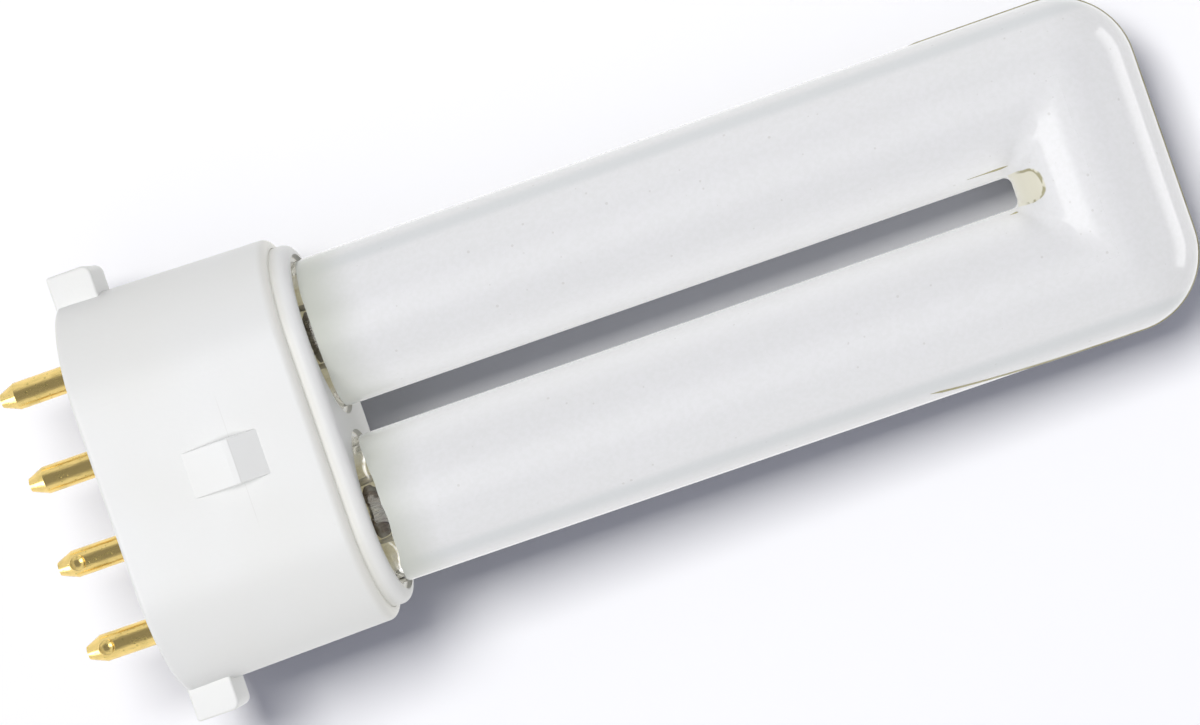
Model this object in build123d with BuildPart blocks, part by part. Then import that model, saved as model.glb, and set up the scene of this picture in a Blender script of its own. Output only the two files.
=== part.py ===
from build123d import *
import os
from math import radians, tan

# Compact fluorescent bulb: a white-coated glass U, cemented by its two legs into a moulded base
# with four pins in line. X runs along the lamp from the pins to the tip, Y across the two legs,
# and Z up from the wide side that it lies on. The origin is the middle of the seating face,
# where the pins leave the base. Lengths are in millimetres.

# Glass tube
tube_d = 12.2
tube_wall = 1.0
slot_width = 2.3
slot_corner = 0.6
tip_x = 85.7
seal_thickness = 3.2
seal_length = 2.2
seal_taper = 2.6
exhaust_d = 2.6
exhaust_tip_d = 1.0
exhaust_length = 1.6

# White coating inside the glass, which stops short of each foot
coat_thickness = 0.12
coat_gap = 0.02
bare_foot = {"left": 0.3, "right": 1.5}

# Base housing
base_length = 17.4
base_draft = 1.5
rim_inset = 0.9
rim_round = 0.75
seat_edge = 0.4
floor_thickness = 2.4
boss_d = 4.2
boss_height = 1.6

# Collar, the plate that closes the housing around the two legs
cement_gap = 0.5
collar_wall = 0.95
collar_height = 1.5
collar_round = 0.85
collar_fit = 0.05
collar_seat = 3.2
collar_ledge = 0.8
cement_sink = 0.4
cement_fit = 0.02

# Lugs on the narrow sides, which key the base in its holder
lug_length = 3.6
lug_proud = 2.2
lug_depth = 5.0
lug_round = 0.7
lug_edge = 0.25
lug_rim = 0.2

# Catches on the wide sides, which snap into the holder
catch_start = 6.9
catch_rise = 3.5
catch_land = 0.45
catch_fall = 2.2
catch_width = 3.7
catch_height = 1.05
catch_root = 0.5
catch_edge = 0.12

# Contact pins
pin_pitch = 7.0
pin_d = 2.2
pin_shank_d = 2.6
pin_length = 7.0
pin_cone = 1.3
pin_tip_d = 1.1
pin_tip_wall = 1.2
pin_bore = 1.0
pin_head_d = 3.2
pin_head = 0.6
pin_fit = 0.02
dimple_d = 1.2
dimple_depth = 0.28
dimple_setback = 1.75

# Electrodes and their lead wires
wire_d = 0.5
wire_fit = 0.02
wire_bend = 1.0
wire_room = 2.6
coil_d = 1.4
coil_length = 4.4
coil_turns = 8
coil_groove = 0.16
coil_sink = 0.2
bead_d = 1.8
bead_drop = 3.4
bead_end = 1.0
bead_round = 0.5

# Places that follow from those sizes
tube_r = tube_d / 2
leg_y = (tube_d + slot_width) / 2
crown_x = tip_x - tube_r
hole_d = tube_d + 2 * cement_gap
collar_d = hole_d + 2 * collar_wall
rim_d = collar_d + 2 * rim_inset
draft_slope = tan(radians(base_draft))
base_d = rim_d + 2 * base_length * draft_slope
base_side_y = leg_y + base_d / 2
pocket_d = collar_d + 2 * collar_fit
well_d = pocket_d - 2 * collar_ledge
collar_face_x = base_length + collar_height
ledge_x = base_length - collar_seat
boss_x = floor_thickness + boss_height
pin_end_x = boss_x + pin_head
seal_end_x = pin_end_x + wire_room
seal_top_x = seal_end_x + seal_length + seal_taper
lead_y = (coil_length + wire_d) / 2 + wire_fit
coil_x = collar_face_x - coil_sink
bead_x = coil_x - bead_drop

sides = {"left": 1, "right": -1}
pin_places = {1: 1.5 * pin_pitch, 2: 0.5 * pin_pitch, 3: -0.5 * pin_pitch, 4: -1.5 * pin_pitch}

os.makedirs("parts", exist_ok=True)


def finish(builder, name):
    """Labels a finished piece and writes it to its own file."""
    builder.part.label = name
    export_step(builder.part, f"parts/{name}.step")


def tube_body(radius, foot_x):
    """A solid U of this radius about the tube's centre line, rounded at its tip and mitred at its slot."""
    with BuildPart() as body:
        # Outer half of the left leg, turned round the corner of the tip
        with BuildSketch(Plane.YZ.offset(crown_x)):
            with Locations((leg_y, 0)):
                Circle(radius)
                Rectangle(radius, 2 * radius, align=(Align.MAX, Align.CENTER), mode=Mode.SUBTRACT)
        revolve(axis=Axis((crown_x, leg_y, 0), (0, 0, -1)), revolution_arc=90)
        # Half of the crossover, and the right half of the bend
        with BuildSketch(Plane.XZ.offset(-leg_y)):
            with Locations((crown_x, 0)):
                Circle(radius)
        extrude(amount=leg_y)
        mirror(about=Plane.XZ)
        # Legs, each from its own foot
        for name, side in sides.items():
            with BuildSketch(Plane.YZ.offset(foot_x[name])):
                with Locations((side * leg_y, 0)):
                    Circle(radius)
            extrude(amount=crown_x - foot_x[name])
    return body.part


def foot_press(radius, flat_x, flat_half):
    """What is lost when the feet of such a U are pressed to twice flat_half, as far as flat_x."""
    with BuildPart() as press:
        for up in (1, -1):
            with BuildSketch(Plane.XZ):
                with BuildLine():
                    Polyline(
                        (0, up * flat_half),
                        (flat_x, up * flat_half),
                        (seal_top_x, up * radius),
                        (seal_top_x, up * 2 * radius),
                        (0, up * 2 * radius),
                        close=True,
                    )
                make_face()
            extrude(amount=leg_y + 2 * radius, both=True)
    return press.part


# Discharge tube: hollow glass, with a press seal at each foot and the sealed-off exhaust stub on one
with BuildPart() as tube_void:
    void_r = tube_r - tube_wall
    void_end_x = seal_top_x - seal_taper + tube_wall
    add(tube_body(void_r, dict.fromkeys(sides, void_end_x)))
    add(foot_press(void_r, void_end_x, wire_d), mode=Mode.SUBTRACT)

with BuildPart() as discharge_tube:
    add(tube_body(tube_r, dict.fromkeys(sides, seal_end_x)))
    # Soft valleys where the legs run into the crossover, at the corners of the slot
    fillet(discharge_tube.edges().filter_by(GeomType.ELLIPSE), slot_corner)
    add(foot_press(tube_r, seal_end_x + seal_length, seal_thickness / 2), mode=Mode.SUBTRACT)
    add(tube_void.part, mode=Mode.SUBTRACT)
    with BuildSketch(Plane.YZ.offset(seal_end_x)):
        for side in sides.values():
            with Locations((side * leg_y - lead_y, 0), (side * leg_y + lead_y, 0)):
                Circle(wire_d / 2 + wire_fit)
    extrude(amount=seal_top_x - seal_end_x, mode=Mode.SUBTRACT)
    with BuildSketch(Plane.YZ.offset(seal_end_x)):
        with Locations((leg_y, 0)):
            Circle(exhaust_d / 2)
    with BuildSketch(Plane.YZ.offset(seal_end_x - exhaust_length)):
        with Locations((leg_y, 0)):
            Circle(exhaust_tip_d / 2)
    loft()
finish(discharge_tube, "discharge_tube")

# White coating on the inside of the glass
with BuildPart() as phosphor_coating:
    coat_r = tube_r - tube_wall - coat_gap
    coat_start = {name: collar_face_x + bare_foot[name] for name in sides}
    add(tube_body(coat_r, coat_start))
    add(tube_body(coat_r - coat_thickness, coat_start), mode=Mode.SUBTRACT)
finish(phosphor_coating, "phosphor_coating")

# Lug of one narrow side, flush with the seating face and rooted in the housing's wall
with BuildPart() as lug:
    lug_root_y = leg_y + (well_d + base_d) / 4
    lug_side_y = base_side_y + lug_proud
    with BuildSketch(Plane.XY.offset(-lug_depth / 2)):
        with BuildLine():
            FilletPolyline(
                (0, lug_root_y),
                (0, lug_side_y),
                (lug_length, lug_side_y),
                (lug_length, lug_root_y),
                radius=[lug_edge, lug_round],
            )
            Line((lug_length, lug_root_y), (0, lug_root_y))
        make_face()
    extrude(amount=lug_depth)
    fillet(lug.faces().filter_by(Axis.Z).edges(), lug_rim)

# Catch of one wide side: a long ramp from the pin side up to a narrow land, then a short ramp down
with BuildPart() as catch:
    catch_top_x = catch_start + catch_rise
    catch_drop_x = catch_top_x + catch_land
    catch_end_x = catch_drop_x + catch_fall
    start_z, end_z = (base_d / 2 - x * draft_slope for x in (catch_start, catch_end_x))
    land_z = base_d / 2 - catch_top_x * draft_slope + catch_height
    rise_slope = (land_z - start_z) / catch_rise
    fall_slope = (land_z - end_z) / catch_fall
    with BuildSketch(Plane.XZ):
        with BuildLine():
            Polyline(
                (catch_start - catch_root / rise_slope, start_z - catch_root),
                (catch_top_x, land_z),
                (catch_drop_x, land_z),
                (catch_end_x + catch_root / fall_slope, end_z - catch_root),
                close=True,
            )
        make_face()
    extrude(amount=catch_width / 2, both=True)
    buried_face = catch.faces().sort_by(Axis.Z)[0]
    fillet(catch.edges() - buried_face.edges(), catch_edge)

# Base housing: a drafted cup with a stepped mouth, four pin bosses, two lugs and two catches
with BuildPart() as base_housing:
    with BuildSketch(Plane.YZ):
        SlotCenterToCenter(2 * leg_y, base_d)
    extrude(amount=base_length, taper=base_draft)
    fillet(base_housing.faces().sort_by(Axis.X)[-1].edges(), rim_round)
    fillet(base_housing.faces().sort_by(Axis.X)[0].edges(), seat_edge)
    # Mouth that takes the collar, and the narrower well below its ledge
    with BuildSketch(Plane.YZ.offset(ledge_x)):
        SlotCenterToCenter(2 * leg_y, pocket_d)
    extrude(amount=collar_seat, mode=Mode.SUBTRACT)
    with BuildSketch(Plane.YZ.offset(floor_thickness)):
        SlotCenterToCenter(2 * leg_y, well_d)
    extrude(amount=ledge_x - floor_thickness, mode=Mode.SUBTRACT)
    # Pin bosses on the floor of the well
    with BuildSketch(Plane.YZ.offset(floor_thickness)):
        with Locations(*((y, 0) for y in pin_places.values())):
            Circle(boss_d / 2)
    extrude(amount=boss_height)
    with BuildSketch(Plane.YZ):
        with Locations(*((y, 0) for y in pin_places.values())):
            Circle(pin_shank_d / 2 + pin_fit)
    extrude(amount=boss_x, mode=Mode.SUBTRACT)
    # Lugs and catches
    add(lug.part)
    mirror(lug.part, about=Plane.XZ)
    add(catch.part)
    mirror(catch.part, about=Plane.XY)
finish(base_housing, "base_housing")

# Tube collar: seats on the housing's ledge and stands proud of its rim, with a hole for each leg
with BuildPart() as tube_collar:
    with BuildSketch(Plane.YZ.offset(ledge_x)):
        SlotCenterToCenter(2 * leg_y, collar_d)
    extrude(amount=collar_face_x - ledge_x)
    fillet(tube_collar.faces().sort_by(Axis.X)[-1].edges(), collar_round)
    with BuildSketch(Plane.YZ.offset(ledge_x)):
        with Locations((leg_y, 0), (-leg_y, 0)):
            Circle(hole_d / 2)
    extrude(amount=collar_face_x - ledge_x, mode=Mode.SUBTRACT)
finish(tube_collar, "tube_collar")

# Cement that holds each leg in its hole
for name, side in sides.items():
    with BuildPart() as cement_ring:
        with BuildSketch(Plane.YZ.offset(ledge_x)):
            with Locations((side * leg_y, 0)):
                Circle(hole_d / 2 - cement_fit)
                Circle(tube_r + cement_fit, mode=Mode.SUBTRACT)
        extrude(amount=collar_face_x - cement_sink - ledge_x)
    finish(cement_ring, f"cement_ring_{name}")

# Contact pins: hollow, with a head inside the base, a cone at the tip and a crimp dimple
dimple_r = (dimple_depth**2 + (dimple_d / 2) ** 2) / (2 * dimple_depth)
for number, pin_y in pin_places.items():
    with BuildPart() as contact_pin:
        with BuildSketch(Plane.XZ.offset(-pin_y)):
            with BuildLine():
                Polyline(
                    (-pin_length, 0),
                    (-pin_length, pin_tip_d / 2),
                    (pin_cone - pin_length, pin_d / 2),
                    (0, pin_d / 2),
                    (0, pin_shank_d / 2),
                    (boss_x, pin_shank_d / 2),
                    (boss_x, pin_head_d / 2),
                    (pin_end_x, pin_head_d / 2),
                    (pin_end_x, pin_bore / 2),
                    (pin_tip_wall - pin_length, pin_bore / 2),
                    (pin_tip_wall - pin_length, 0),
                    close=True,
                )
            make_face()
        revolve(axis=Axis((0, pin_y, 0), (1, 0, 0)))
        # The dimples of one pair face up, and of the other pair down
        dimple_up = 1 if pin_y < 0 else -1
        dimple_z = pin_d / 2 - dimple_depth + dimple_r
        with Locations((dimple_setback - pin_length, pin_y, dimple_up * dimple_z)):
            Sphere(dimple_r, mode=Mode.SUBTRACT)
    finish(contact_pin, f"contact_pin_{number}")

# Lead wires: out of each pin, across to the press seal, and up to one end of the coil
wire_start_x = pin_tip_wall - pin_length + wire_d
for number, pin_y in pin_places.items():
    leg_side = 1 if pin_y > 0 else -1
    leg_centre = leg_side * leg_y
    wire_y = leg_centre + (lead_y if pin_y > leg_centre else -lead_y)
    with BuildPart() as lead_wire:
        with BuildLine() as route:
            FilletPolyline(
                (wire_start_x, pin_y, 0),
                (pin_end_x + wire_d, pin_y, 0),
                (seal_end_x - wire_d, wire_y, 0),
                (coil_x + coil_d / 2, wire_y, 0),
                radius=wire_bend,
            )
        with BuildSketch(Plane.YZ.offset(wire_start_x)):
            with Locations((pin_y, 0)):
                Circle(wire_d / 2)
        sweep(path=route.wires()[0])
    finish(lead_wire, f"lead_wire_{number}")

# Electrodes: a close-wound coil across the tops of two leads, and the glass bead that spaces them
for name, side in sides.items():
    with BuildPart() as electrode_coil:
        coil_start = Plane((coil_x, side * leg_y - coil_length / 2, 0), x_dir=(0, 1, 0), z_dir=(0, 0, -1))
        turn = coil_length / coil_turns
        valley_r = coil_d / 2 - coil_groove
        with BuildSketch(coil_start):
            with BuildLine():
                Polyline((coil_length, valley_r), (coil_length, 0), (0, 0), (0, valley_r))
                for i in range(coil_turns):
                    Polyline(
                        (i * turn, valley_r),
                        (i * turn + coil_groove, coil_d / 2),
                        ((i + 1) * turn - coil_groove, coil_d / 2),
                        ((i + 1) * turn, valley_r),
                    )
            make_face()
        revolve(axis=Axis((coil_x, 0, 0), (0, 1, 0)))
    finish(electrode_coil, f"electrode_coil_{name}")

    with BuildPart() as mount_bead:
        bead_half = lead_y + wire_d / 2 + bead_end
        with BuildSketch(Plane.XZ.offset(-side * leg_y - bead_half)):
            with Locations((bead_x, 0)):
                Circle(bead_d / 2)
        extrude(amount=2 * bead_half)
        fillet(mount_bead.edges(), bead_round)
        with BuildSketch(Plane.YZ.offset(bead_x - bead_d)):
            with Locations((side * leg_y - lead_y, 0), (side * leg_y + lead_y, 0)):
                Circle(wire_d / 2 + wire_fit)
        extrude(amount=2 * bead_d, mode=Mode.SUBTRACT)
    finish(mount_bead, f"mount_bead_{name}")
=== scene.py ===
"""Dresses a compact fluorescent bulb: models its glass and electrodes, finishes it and sets its stage."""

from math import asin, atan2, cos, hypot, pi, radians, sin

import bmesh
import bpy
from bpy.props import FloatProperty, FloatVectorProperty, IntProperty, PointerProperty
from mathutils import Matrix, Vector, noise


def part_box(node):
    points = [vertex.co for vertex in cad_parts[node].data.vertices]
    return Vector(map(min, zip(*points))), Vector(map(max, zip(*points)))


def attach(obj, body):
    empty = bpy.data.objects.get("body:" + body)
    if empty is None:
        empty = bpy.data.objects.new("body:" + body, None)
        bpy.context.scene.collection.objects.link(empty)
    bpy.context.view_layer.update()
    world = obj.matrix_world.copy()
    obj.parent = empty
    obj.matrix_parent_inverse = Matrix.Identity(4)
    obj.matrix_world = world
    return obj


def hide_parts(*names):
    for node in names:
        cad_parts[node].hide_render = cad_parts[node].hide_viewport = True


bl_info = {
    "name": "Compact Fluorescent Bulb",
    "version": (1, 0, 0),
    "blender": (4, 5, 0),
    "location": "View3D > Sidebar > Bulb",
    "description": "Models the glass and the electrodes of a compact fluorescent bulb and finishes it",
    "category": "Object",
}

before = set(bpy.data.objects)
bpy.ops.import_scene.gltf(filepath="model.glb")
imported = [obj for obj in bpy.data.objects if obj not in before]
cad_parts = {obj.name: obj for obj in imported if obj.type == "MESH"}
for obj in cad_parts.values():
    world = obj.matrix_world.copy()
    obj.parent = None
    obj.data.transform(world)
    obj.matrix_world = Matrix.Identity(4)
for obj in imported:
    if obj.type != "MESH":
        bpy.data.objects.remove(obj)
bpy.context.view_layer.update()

MM = 0.001
MERGE = 0.0005 * MM
NEAR = 0.004 * MM
SMOOTH_ANGLE = radians(35)
SIDES = {"left": 1, "right": -1}
PINS = range(1, 5)
UPRIGHT = (0, 0, 0)
UPSIDE_DOWN = (pi, 0, 0)
ALONG_X = (0, pi / 2, 0)
ALONG_Y = (pi / 2, 0, 0)
BLACK = (0.0, 0.0, 0.0)
WHITE = (1.0, 1.0, 1.0)

# Places that the frame gives, in metres
tube_low, tube_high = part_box("discharge_tube")
TUBE_R = tube_high.z
LEG_Y = tube_high.y - TUBE_R
TIP_X = tube_high.x
CROWN_X = TIP_X - TUBE_R
# The mould seam stands out of the glass, inside the tube's own box
SEAM_PROUD = 0.08 * MM
GLASS_R = TUBE_R - SEAM_PROUD
SLOT_END_X = CROWN_X - GLASS_R
COLLAR_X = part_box("tube_collar")[1].x
CATCH_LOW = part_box("base_housing")[0].z
PIN_END_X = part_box("contact_pin_1")[0].x
coil_low, coil_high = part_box("electrode_coil_left")
COIL_X = (coil_low.x + coil_high.x) / 2
COIL_R = coil_high.z
COIL_LENGTH = coil_high.y - coil_low.y
# Places on the base that the frame doesn't give: the catch's top, the rim's root and the mould line
CATCH_X = 10.6 * MM
ROOT_X = COLLAR_X - 1.5 * MM
MOULD_LINE_X = 10.9 * MM

# Rows of faces along the glass
LEG_ROWS = 12
BEND_ROWS = 8
SEAM_ROWS = 20
VALLEY_ROWS = 8
# Corners round the small pieces
SEAM_CORNERS = 8
WIRE_CORNERS = 10
COIL_CORNERS = 24
RIM_CORNERS = 32
# A leg's halves part this many valley radii before the slot's end
VALLEY_ROOM = 3
# Most that a valley's radius takes of its inset
VALLEY_SHARE = 0.8
# Waves of the coating's edge across a leg's radius, and the slice of noise that the finer ones take
DRIPS = 3
RIPPLES = 9
RIPPLE_SLICE = 5
# What is left of a seam's end and of the exhaust stub's end when they are drawn in
SEAM_POINT = 0.1
STUB_POINT = 0.4
# Power with which the seam's climb grows
SEAM_CLIMB = 1.5
# Lines beside the slot: their thickness from row to row, and the seam's width over their radius
LINE_SHARES = (0.1, 0.3, 0.45, 0.7, 1.0, 0.9, 0.1)
SEAM_TO_LINE = 3
# A coil's core: its thickness from end to end, and the share of the length left free at each end
CORE_SHARES = (0.42, *[0.86] * 8, 0.42)
CORE_MARGIN = 0.025

# Where each lamp stands from what it faces, and its size, in metres
LAMPS = {
    "over_box": ((-0.18, 0, 0.98), (0.8, 0.8)),
    "ground_box": ((-0.15, 0.35, 0.93), (0.46, 0.46)),
    "key_card": ((-0.30, 0, 0.40), (0.46, 0.30)),
    "rim_card": ((0.012, 0, 0), (0.036, 0.01)),
    "end_card": ((-0.42, -0.10, 0.26), (0.44, 0.34)),
}
# The way across each card, and where it goes from dark to bright at both its edges
CARD_FADES = {
    "key_card": ("X", (0.0, 0.2), (1.0, 0.6)),
    "rim_card": ("Y", (0.0, 0.15), (1.0, 0.5)),
    "end_card": ("Y", (0.0, 0.2), (1.0, 0.8)),
}
RIM_CARD_Z = 1.5 * MM
FLOOR_SIZE = 6
# Between the first and the second diffuse bounce
FIRST_BOUNCE = 1.5
SENSOR_WIDTH = 36
CLIP_START = 10 * MM


class BulbGlassSettings(bpy.types.PropertyGroup):
    """Sizes of the glass tube"""

    corners: IntProperty(name="Corners", description="Corners round one leg", default=96, min=16)
    wall: FloatProperty(name="Wall", description="Thickness of the glass", default=1.0 * MM, unit="LENGTH")
    valley: FloatProperty(
        name="Valley", description="Radius of the slot's corners", default=0.6 * MM, unit="LENGTH"
    )
    bare_left: FloatProperty(
        name="Bare Left", description="Uncoated foot of the left leg", default=0.42 * MM, unit="LENGTH"
    )
    bare_right: FloatProperty(
        name="Bare Right", description="Uncoated foot of the right leg", default=1.1 * MM, unit="LENGTH"
    )
    edge_dip: FloatProperty(
        name="Edge Dip",
        description="How much shorter the bare foot is at its sides",
        default=0.75,
        subtype="FACTOR",
    )
    edge_wave: FloatProperty(
        name="Edge Wave", description="How uneven the coating's edge is", default=0.12, subtype="FACTOR"
    )
    seal_thickness: FloatProperty(
        name="Seal Thickness", description="Thickness of the pressed seal", default=3.2 * MM, unit="LENGTH"
    )
    seal_length: FloatProperty(
        name="Seal Length", description="Length of the pressed seal", default=2.2 * MM, unit="LENGTH"
    )
    seal_taper: FloatProperty(
        name="Seal Taper", description="Length from round to pressed", default=2.6 * MM, unit="LENGTH"
    )
    exhaust_d: FloatProperty(
        name="Exhaust Tip", description="Diameter of the sealed-off stub", default=2.6 * MM, unit="LENGTH"
    )
    exhaust_length: FloatProperty(
        name="Exhaust Length", description="Length of the sealed-off stub", default=1.6 * MM, unit="LENGTH"
    )


class BulbSeamSettings(bpy.types.PropertyGroup):
    """Sizes of the mould seam round the tip"""

    width: FloatProperty(name="Width", description="Width of the seam", default=0.3 * MM, unit="LENGTH")
    start_left: FloatProperty(
        name="Start Left", description="Where it starts on the left leg", default=69.5 * MM, unit="LENGTH"
    )
    start_right: FloatProperty(
        name="Start Right", description="Where it starts on the right leg", default=62.5 * MM, unit="LENGTH"
    )
    lift: FloatProperty(
        name="Lift", description="How far it climbs the right leg", default=radians(27), subtype="ANGLE"
    )
    line_start: FloatProperty(
        name="Line Start", description="Where the line by the slot starts", default=70.5 * MM, unit="LENGTH"
    )
    line_length: FloatProperty(
        name="Line Length", description="Length of the line by the slot", default=3.4 * MM, unit="LENGTH"
    )
    line_lift: FloatProperty(
        name="Line Lift",
        description="How high the line by the slot lies",
        default=radians(29),
        subtype="ANGLE",
    )
    dash_start: FloatProperty(
        name="Dash Start", description="Where the dash by the slot starts", default=72.7 * MM, unit="LENGTH"
    )
    dash_length: FloatProperty(
        name="Dash Length", description="Length of the dash by the slot", default=0.7 * MM, unit="LENGTH"
    )
    dash_lift: FloatProperty(
        name="Dash Lift",
        description="How high the dash by the slot lies",
        default=radians(21),
        subtype="ANGLE",
    )


class BulbElectrodeSettings(bpy.types.PropertyGroup):
    """Sizes of the electrode coils"""

    turns: IntProperty(name="Turns", description="Turns of a coil", default=10, min=2)
    wire: FloatProperty(
        name="Wire", description="Diameter of the wound filament", default=0.36 * MM, unit="LENGTH"
    )
    setback: FloatProperty(
        name="Setback", description="How far it sags towards the base", default=0.15 * MM, unit="LENGTH"
    )
    bare_end: FloatProperty(
        name="Bare End", description="Unwound end of the coil's core", default=0.5 * MM, unit="LENGTH"
    )


class BulbRimSettings(bpy.types.PropertyGroup):
    """Sizes of the burr round a pin's dimple"""

    pin_d: FloatProperty(name="Pin", description="Diameter of the pin", default=2.2 * MM, unit="LENGTH")
    setback: FloatProperty(
        name="Setback", description="From the pin's end to the dimple", default=1.75 * MM, unit="LENGTH"
    )
    radius: FloatProperty(
        name="Radius", description="Radius inside the burr", default=0.54 * MM, unit="LENGTH"
    )
    width: FloatProperty(name="Width", description="Width of the burr", default=0.18 * MM, unit="LENGTH")
    height: FloatProperty(
        name="Height", description="How far it stands out", default=0.05 * MM, unit="LENGTH"
    )


class BulbFinishSettings(bpy.types.PropertyGroup):
    """Colours of the finishes"""

    coating: FloatVectorProperty(
        name="Coating", description="White coating", default=(0.81, 0.81, 0.81), subtype="COLOR"
    )
    coating_foot: FloatVectorProperty(
        name="Coating Foot",
        description="Thin coating by the feet",
        default=(0.54, 0.56, 0.49),
        subtype="COLOR",
    )
    # Painted shade down the outer sides of the legs
    side_shade: FloatVectorProperty(
        name="Side Shade",
        description="Painted shade down the sides",
        default=(0.63, 0.66, 0.66),
        subtype="COLOR",
    )
    bare_glass: FloatVectorProperty(
        name="Bare Glass",
        description="Uncoated spot at the slot",
        default=(0.76, 0.73, 0.57),
        subtype="COLOR",
    )
    glass: FloatVectorProperty(
        name="Glass", description="Clear glass", default=(0.99, 0.98, 0.93), subtype="COLOR"
    )
    glass_thick: FloatVectorProperty(
        name="Thick Glass",
        description="Glass where it is thick",
        default=(0.97, 0.95, 0.87),
        subtype="COLOR",
    )
    seam: FloatVectorProperty(
        name="Seam", description="Mould seam of the glass", default=(0.30, 0.27, 0.12), subtype="COLOR"
    )
    plastic: FloatVectorProperty(
        name="Plastic", description="Moulded base and collar", default=(0.82, 0.825, 0.81), subtype="COLOR"
    )
    # Aged tone in patches, and the painted shade and glow at the rim's root
    aged_plastic_and_root_shade: FloatVectorProperty(
        name="Aged Plastic and Root Shade",
        description="Roots and edges of the base",
        default=(0.76, 0.75, 0.68),
        subtype="COLOR",
    )
    cement: FloatVectorProperty(
        name="Cement", description="Cement round the legs", default=(0.74, 0.71, 0.55), subtype="COLOR"
    )
    cement_skin: FloatVectorProperty(
        name="Cement Skin", description="Edge of the cement", default=(0.34, 0.25, 0.10), subtype="COLOR"
    )
    brass: FloatVectorProperty(
        name="Brass", description="Gold-washed pins", default=(0.86, 0.64, 0.24), subtype="COLOR"
    )
    tarnish: FloatVectorProperty(
        name="Tarnish", description="Dull patches of the pins", default=(0.46, 0.37, 0.11), subtype="COLOR"
    )
    lead: FloatVectorProperty(
        name="Lead", description="Lead wires", default=(0.72, 0.67, 0.52), subtype="COLOR"
    )
    filament: FloatVectorProperty(
        name="Filament", description="Wound filament", default=(0.17, 0.11, 0.075), subtype="COLOR"
    )
    dust: FloatVectorProperty(
        name="Dust",
        description="Specks, and pale patches of wires",
        default=(0.45, 0.43, 0.38),
        subtype="COLOR",
    )
    bead: FloatVectorProperty(
        name="Bead", description="Glass beads", default=(0.62, 0.70, 0.68), subtype="COLOR"
    )


class BulbStageSettings(bpy.types.PropertyGroup):
    """Camera and light"""

    distance: FloatProperty(
        name="Distance", description="From the camera to its target", default=380 * MM, unit="LENGTH"
    )
    target_x: FloatProperty(
        name="Target X", description="Target along the bulb", default=38.88 * MM, unit="LENGTH"
    )
    target_y: FloatProperty(
        name="Target Y", description="Target across the bulb", default=-2.02 * MM, unit="LENGTH"
    )
    tilt: FloatProperty(
        name="Tilt", description="Lean of the view towards the tip", default=radians(6.56), subtype="ANGLE"
    )
    lean: FloatProperty(
        name="Lean", description="Lean of the view across the bulb", default=radians(-0.24), subtype="ANGLE"
    )
    turn: FloatProperty(
        name="Turn", description="Turn of the bulb in the picture", default=radians(19.19), subtype="ANGLE"
    )
    lens: FloatProperty(name="Lens", description="Focal length in millimetres", default=146.5)
    over: FloatProperty(name="Overhead", description="Brightness of the box over the bulb", default=4.05)
    ground: FloatProperty(name="Ground", description="Brightness of the box over the floor", default=14.0)
    key: FloatProperty(
        name="Key",
        description="Brightness of the card that the saddle mirrors",
        default=2.6,
    )
    rim: FloatProperty(name="Rim", description="Brightness of the card that the tip mirrors", default=2.4)
    ends: FloatProperty(
        name="Ends",
        description="Brightness of the card that the pins' ends mirror",
        default=3.6,
    )
    sky: FloatVectorProperty(
        name="Sky", description="Light of the room", default=(0.31, 0.31, 0.34), subtype="COLOR"
    )
    horizon: FloatVectorProperty(
        name="Horizon", description="Low room in mirrors", default=(0.98, 0.99, 1.0), subtype="COLOR"
    )
    ceiling: FloatVectorProperty(
        name="Ceiling", description="High room in mirrors", default=(0.30, 0.31, 0.34), subtype="COLOR"
    )
    floor: FloatVectorProperty(
        name="Floor", description="Floor, bluish in its shadow", default=(0.90, 0.92, 1.0), subtype="COLOR"
    )
    ground_tone: FloatVectorProperty(
        name="Ground Tone",
        description="Tone that makes the lit floor white",
        default=(1.0, 0.97, 0.88),
        subtype="COLOR",
    )
    glow: FloatProperty(name="Glow", description="Light that the floor throws back", default=1.1)
    shade: FloatProperty(
        name="Shade", description="Share of the glow lost under the bulb", default=0.3, subtype="FACTOR"
    )


def leave_editing():
    """Goes back to object mode."""
    if bpy.context.mode != "OBJECT":
        bpy.ops.object.mode_set(mode="OBJECT")


def begin_ring(name, corners, radius, place, turn=UPRIGHT):
    """Starts a piece as a ring of edges, with nothing else selected, and opens it for editing."""
    leave_editing()
    bpy.ops.object.select_all(action="DESELECT")
    bpy.ops.mesh.primitive_circle_add(vertices=corners, radius=radius, location=place, rotation=turn)
    piece = bpy.context.object
    piece.name = piece.data.name = name
    bpy.ops.object.transform_apply(location=True, rotation=True, scale=True)
    bpy.ops.object.mode_set(mode="EDIT")
    bpy.ops.mesh.select_mode(type="VERT")
    bpy.ops.mesh.select_all(action="SELECT")
    return piece


def copy_piece(pattern, name, place, turn=UPRIGHT):
    """Copies a pattern with a mesh of its own, turns it and puts it in its place."""
    leave_editing()
    bpy.ops.object.select_all(action="DESELECT")
    pattern.select_set(True)
    bpy.context.view_layer.objects.active = pattern
    bpy.ops.object.duplicate()
    piece = bpy.context.object
    piece.name = piece.data.name = name
    piece.location = place
    piece.rotation_euler = turn
    bpy.ops.object.transform_apply(location=True, rotation=True, scale=True)
    return piece


def pick(piece, kind, test):
    """Selects only the vertices, edges or faces of an open piece whose every corner passes the test."""
    bpy.ops.mesh.select_mode(type=kind)
    bpy.ops.mesh.select_all(action="DESELECT")
    mesh = bmesh.from_edit_mesh(piece.data)
    for item in {"VERT": mesh.verts, "EDGE": mesh.edges, "FACE": mesh.faces}[kind]:
        corners = [item] if kind == "VERT" else item.verts
        if all(test(corner.co) for corner in corners):
            item.select_set(True)
    mesh.select_flush_mode()
    bmesh.update_edit_mesh(piece.data)


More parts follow.
